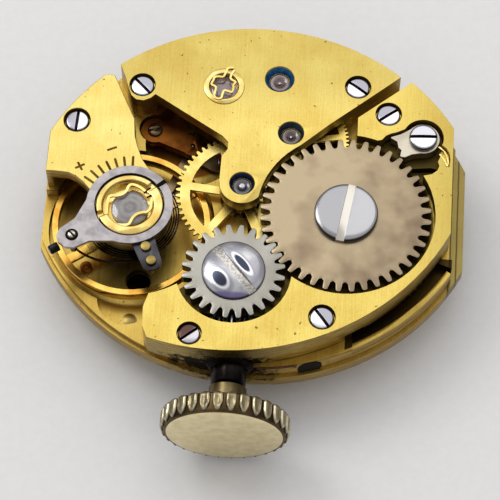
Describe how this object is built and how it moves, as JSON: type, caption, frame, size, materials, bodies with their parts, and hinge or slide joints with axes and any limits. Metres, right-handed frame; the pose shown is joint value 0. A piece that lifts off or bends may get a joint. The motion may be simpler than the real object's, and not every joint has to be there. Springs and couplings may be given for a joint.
{
  "type": "watch movement",
  "caption": "Tonneau hand-wound wristwatch movement with geared winding wheels, going train, lever escapement, balance, keyless work and a ribbed crown on its stem.",
  "frame": {"origin": "centre of the hands at the seat of the dial on the main plate", "axes": "+Z from the dial seat towards the bridges, -Y along the winding stem towards the crown, +X towards the barrel side"},
  "size_m": [0.018, 0.0189, 0.0058],
  "materials": {
    "blued": "polished",
    "clear_jewel": "polished",
    "crown_gold": "polished",
    "dark_steel": "satin",
    "gilt": "satin",
    "polished": "polished",
    "ruby": "polished",
    "steel": "satin"
  },
  "bodies": {
    "plates": {"main_plate": "gilt", "barrel_bridge": "gilt", "train_bridge": "gilt", "balance_cock": "gilt", "pallet_cock": "gilt", "bridge_screws": "polished", "small_screws": "polished", "crown_wheel_core": "dark_steel", "crown_wheel_screw": "polished", "click_screw": "polished", "click_spring": "gilt", "train_jewels": "ruby", "lower_jewels": "ruby", "cap_jewels": "clear_jewel", "escape_cap_setting": "gilt", "cap_springs": "gilt", "balance_upper_setting": "gilt", "balance_lower_setting": "gilt", "banking_pins": "gilt", "setting_lever_screw": "dark_steel", "cover_plate": "steel"},
    "barrel": {"barrel_drum": "gilt", "barrel_cover": "gilt", "mainspring": "dark_steel"},
    "ratchet": {"barrel_arbor": "steel", "ratchet_wheel": "steel", "ratchet_screw": "polished"},
    "crown_wheel_body": {"crown_wheel": "steel"},
    "click_body": {"click": "steel"},
    "center": {"center_wheel": "gilt", "center_pinion": "steel", "cannon_pinion": "steel"},
    "third": {"third_wheel": "gilt", "third_pinion": "steel"},
    "fourth": {"fourth_wheel": "gilt", "fourth_pinion": "steel"},
    "escape": {"escape_wheel": "steel", "escape_pinion": "steel"},
    "pallets": {"pallet_fork": "steel", "pallet_stones": "ruby", "pallet_arbor": "steel"},
    "balance": {"balance_wheel": "gilt", "balance_staff": "steel", "roller": "steel", "impulse_jewel": "ruby", "hairspring": "blued"},
    "stud_holder": {"stud_carrier": "steel", "hairspring_stud": "steel", "stud_screw": "dark_steel"},
    "index": {"regulator": "dark_steel", "curb_pins": "gilt"},
    "winder": {"winding_pinion": "steel"},
    "crown_stem": {"stem": "dark_steel", "crown": "crown_gold"},
    "clutch": {"sliding_clutch": "steel"},
    "lever": {"setting_lever": "steel"},
    "yoke_body": {"yoke": "steel"},
    "minute": {"minute_wheel": "gilt"},
    "hour": {"hour_wheel": "gilt"},
    "setting": {"setting_wheel": "steel"}
  },
  "joints": [
    {"name": "center_spin", "type": "hinge", "parent": "plates", "child": "center", "pos_m": [0, 0, 0.0019], "axis": [0, 0, 1], "continuous": true},
    {"name": "barrel_spin", "type": "hinge", "parent": "plates", "child": "barrel", "pos_m": [0.00445, -0.00113, 0.0014], "axis": [0, 0, 1], "continuous": true},
    {"name": "third_spin", "type": "hinge", "parent": "plates", "child": "third", "pos_m": [0.00192, 0.00256, 0.0021], "axis": [0, 0, 1], "continuous": true},
    {"name": "fourth_spin", "type": "hinge", "parent": "plates", "child": "fourth", "pos_m": [0.00128, 0.00518, 0.00165], "axis": [0, 0, 1], "continuous": true},
    {"name": "escape_spin", "type": "hinge", "parent": "plates", "child": "escape", "pos_m": [-0.00109, 0.00465, 0.0007], "axis": [0, 0, 1], "continuous": true},
    {"name": "minute_spin", "type": "hinge", "parent": "plates", "child": "minute", "pos_m": [0.00118, -0.00136, 0.0002], "axis": [0, 0, 1], "continuous": true},
    {"name": "hour_spin", "type": "hinge", "parent": "plates", "child": "hour", "pos_m": [0, 0, 0.0001], "axis": [0, 0, 1], "continuous": true},
    {"name": "setting_spin", "type": "hinge", "parent": "plates", "child": "setting", "pos_m": [0, -0.0031, 0.0003], "axis": [0, 0, 1], "continuous": true},
    {"name": "pallet_rock", "type": "hinge", "parent": "plates", "child": "pallets", "pos_m": [-0.0023, 0.00255, 0.0007], "axis": [0, 0, 1], "range_deg": [-10, 0]},
    {"name": "balance_swing", "type": "hinge", "parent": "plates", "child": "balance", "pos_m": [-0.00462, -0.00147, 0.0012], "axis": [0, 0, 1], "range_deg": [-15, 225], "deforming": ["hairspring"]},
    {"name": "index_turn", "type": "hinge", "parent": "plates", "child": "index", "pos_m": [-0.00462, -0.00147, 0.003], "axis": [0, 0, 1], "range_deg": [-12, 12]},
    {"name": "stud_turn", "type": "hinge", "parent": "plates", "child": "stud_holder", "pos_m": [-0.00462, -0.00147, 0.0032], "axis": [0, 0, 1], "range_deg": [-8, 8]},
    {"name": "winding_spin", "type": "hinge", "parent": "plates", "child": "winder", "pos_m": [0, -0.0062, 0.00126], "axis": [0, 1, 0], "continuous": true},
    {"name": "crown_wheel_spin", "type": "hinge", "parent": "plates", "child": "crown_wheel_body", "pos_m": [-0.00008, -0.00407, 0.0025], "axis": [0, 0, 1], "continuous": true},
    {"name": "ratchet_spin", "type": "hinge", "parent": "plates", "child": "ratchet", "pos_m": [0.00445, -0.00113, 0.0025], "axis": [0, 0, 1], "continuous": true},
    {"name": "click_rock", "type": "hinge", "parent": "plates", "child": "click_body", "pos_m": [0.00756, 0.0027, 0.0024], "axis": [0, 0, 1], "range_deg": [0, 5]},
    {"name": "stem_pull", "type": "slide", "parent": "winder", "child": "crown_stem", "axis": [0, -1, 0], "range_m": [0, 0.0005]},
    {"name": "clutch_slide", "type": "slide", "parent": "winder", "child": "clutch", "axis": [0, 1, 0], "range_m": [0, 0.00045]},
    {"name": "lever_turn", "type": "hinge", "parent": "plates", "child": "lever", "pos_m": [-0.00169, -0.00707, 0.0002], "axis": [0, 0, 1], "range_deg": [-17, 0]},
    {"name": "yoke_turn", "type": "hinge", "parent": "plates", "child": "yoke_body", "pos_m": [-0.0021, -0.00555, 0.0002], "axis": [0, 0, 1], "range_deg": [0, 12.3]}
  ],
  "couplings": [
    {"joint": "barrel_spin", "follows": "center_spin", "ratio": -0.16667},
    {"joint": "third_spin", "follows": "center_spin", "ratio": -6},
    {"joint": "fourth_spin", "follows": "center_spin", "ratio": 60},
    {"joint": "escape_spin", "follows": "center_spin", "ratio": -600},
    {"joint": "minute_spin", "follows": "center_spin", "ratio": -0.33333},
    {"joint": "hour_spin", "follows": "center_spin", "ratio": 0.083333},
    {"joint": "setting_spin", "follows": "center_spin", "ratio": 0.6},
    {"joint": "crown_wheel_spin", "follows": "winding_spin", "ratio": 0.54167},
    {"joint": "ratchet_spin", "follows": "winding_spin", "ratio": -0.325},
    {"joint": "clutch_slide", "follows": "stem_pull", "ratio": 0.9},
    {"joint": "lever_turn", "follows": "stem_pull", "rad_per_m": -591.7},
    {"joint": "yoke_turn", "follows": "stem_pull", "rad_per_m": 428.6}
  ]
}
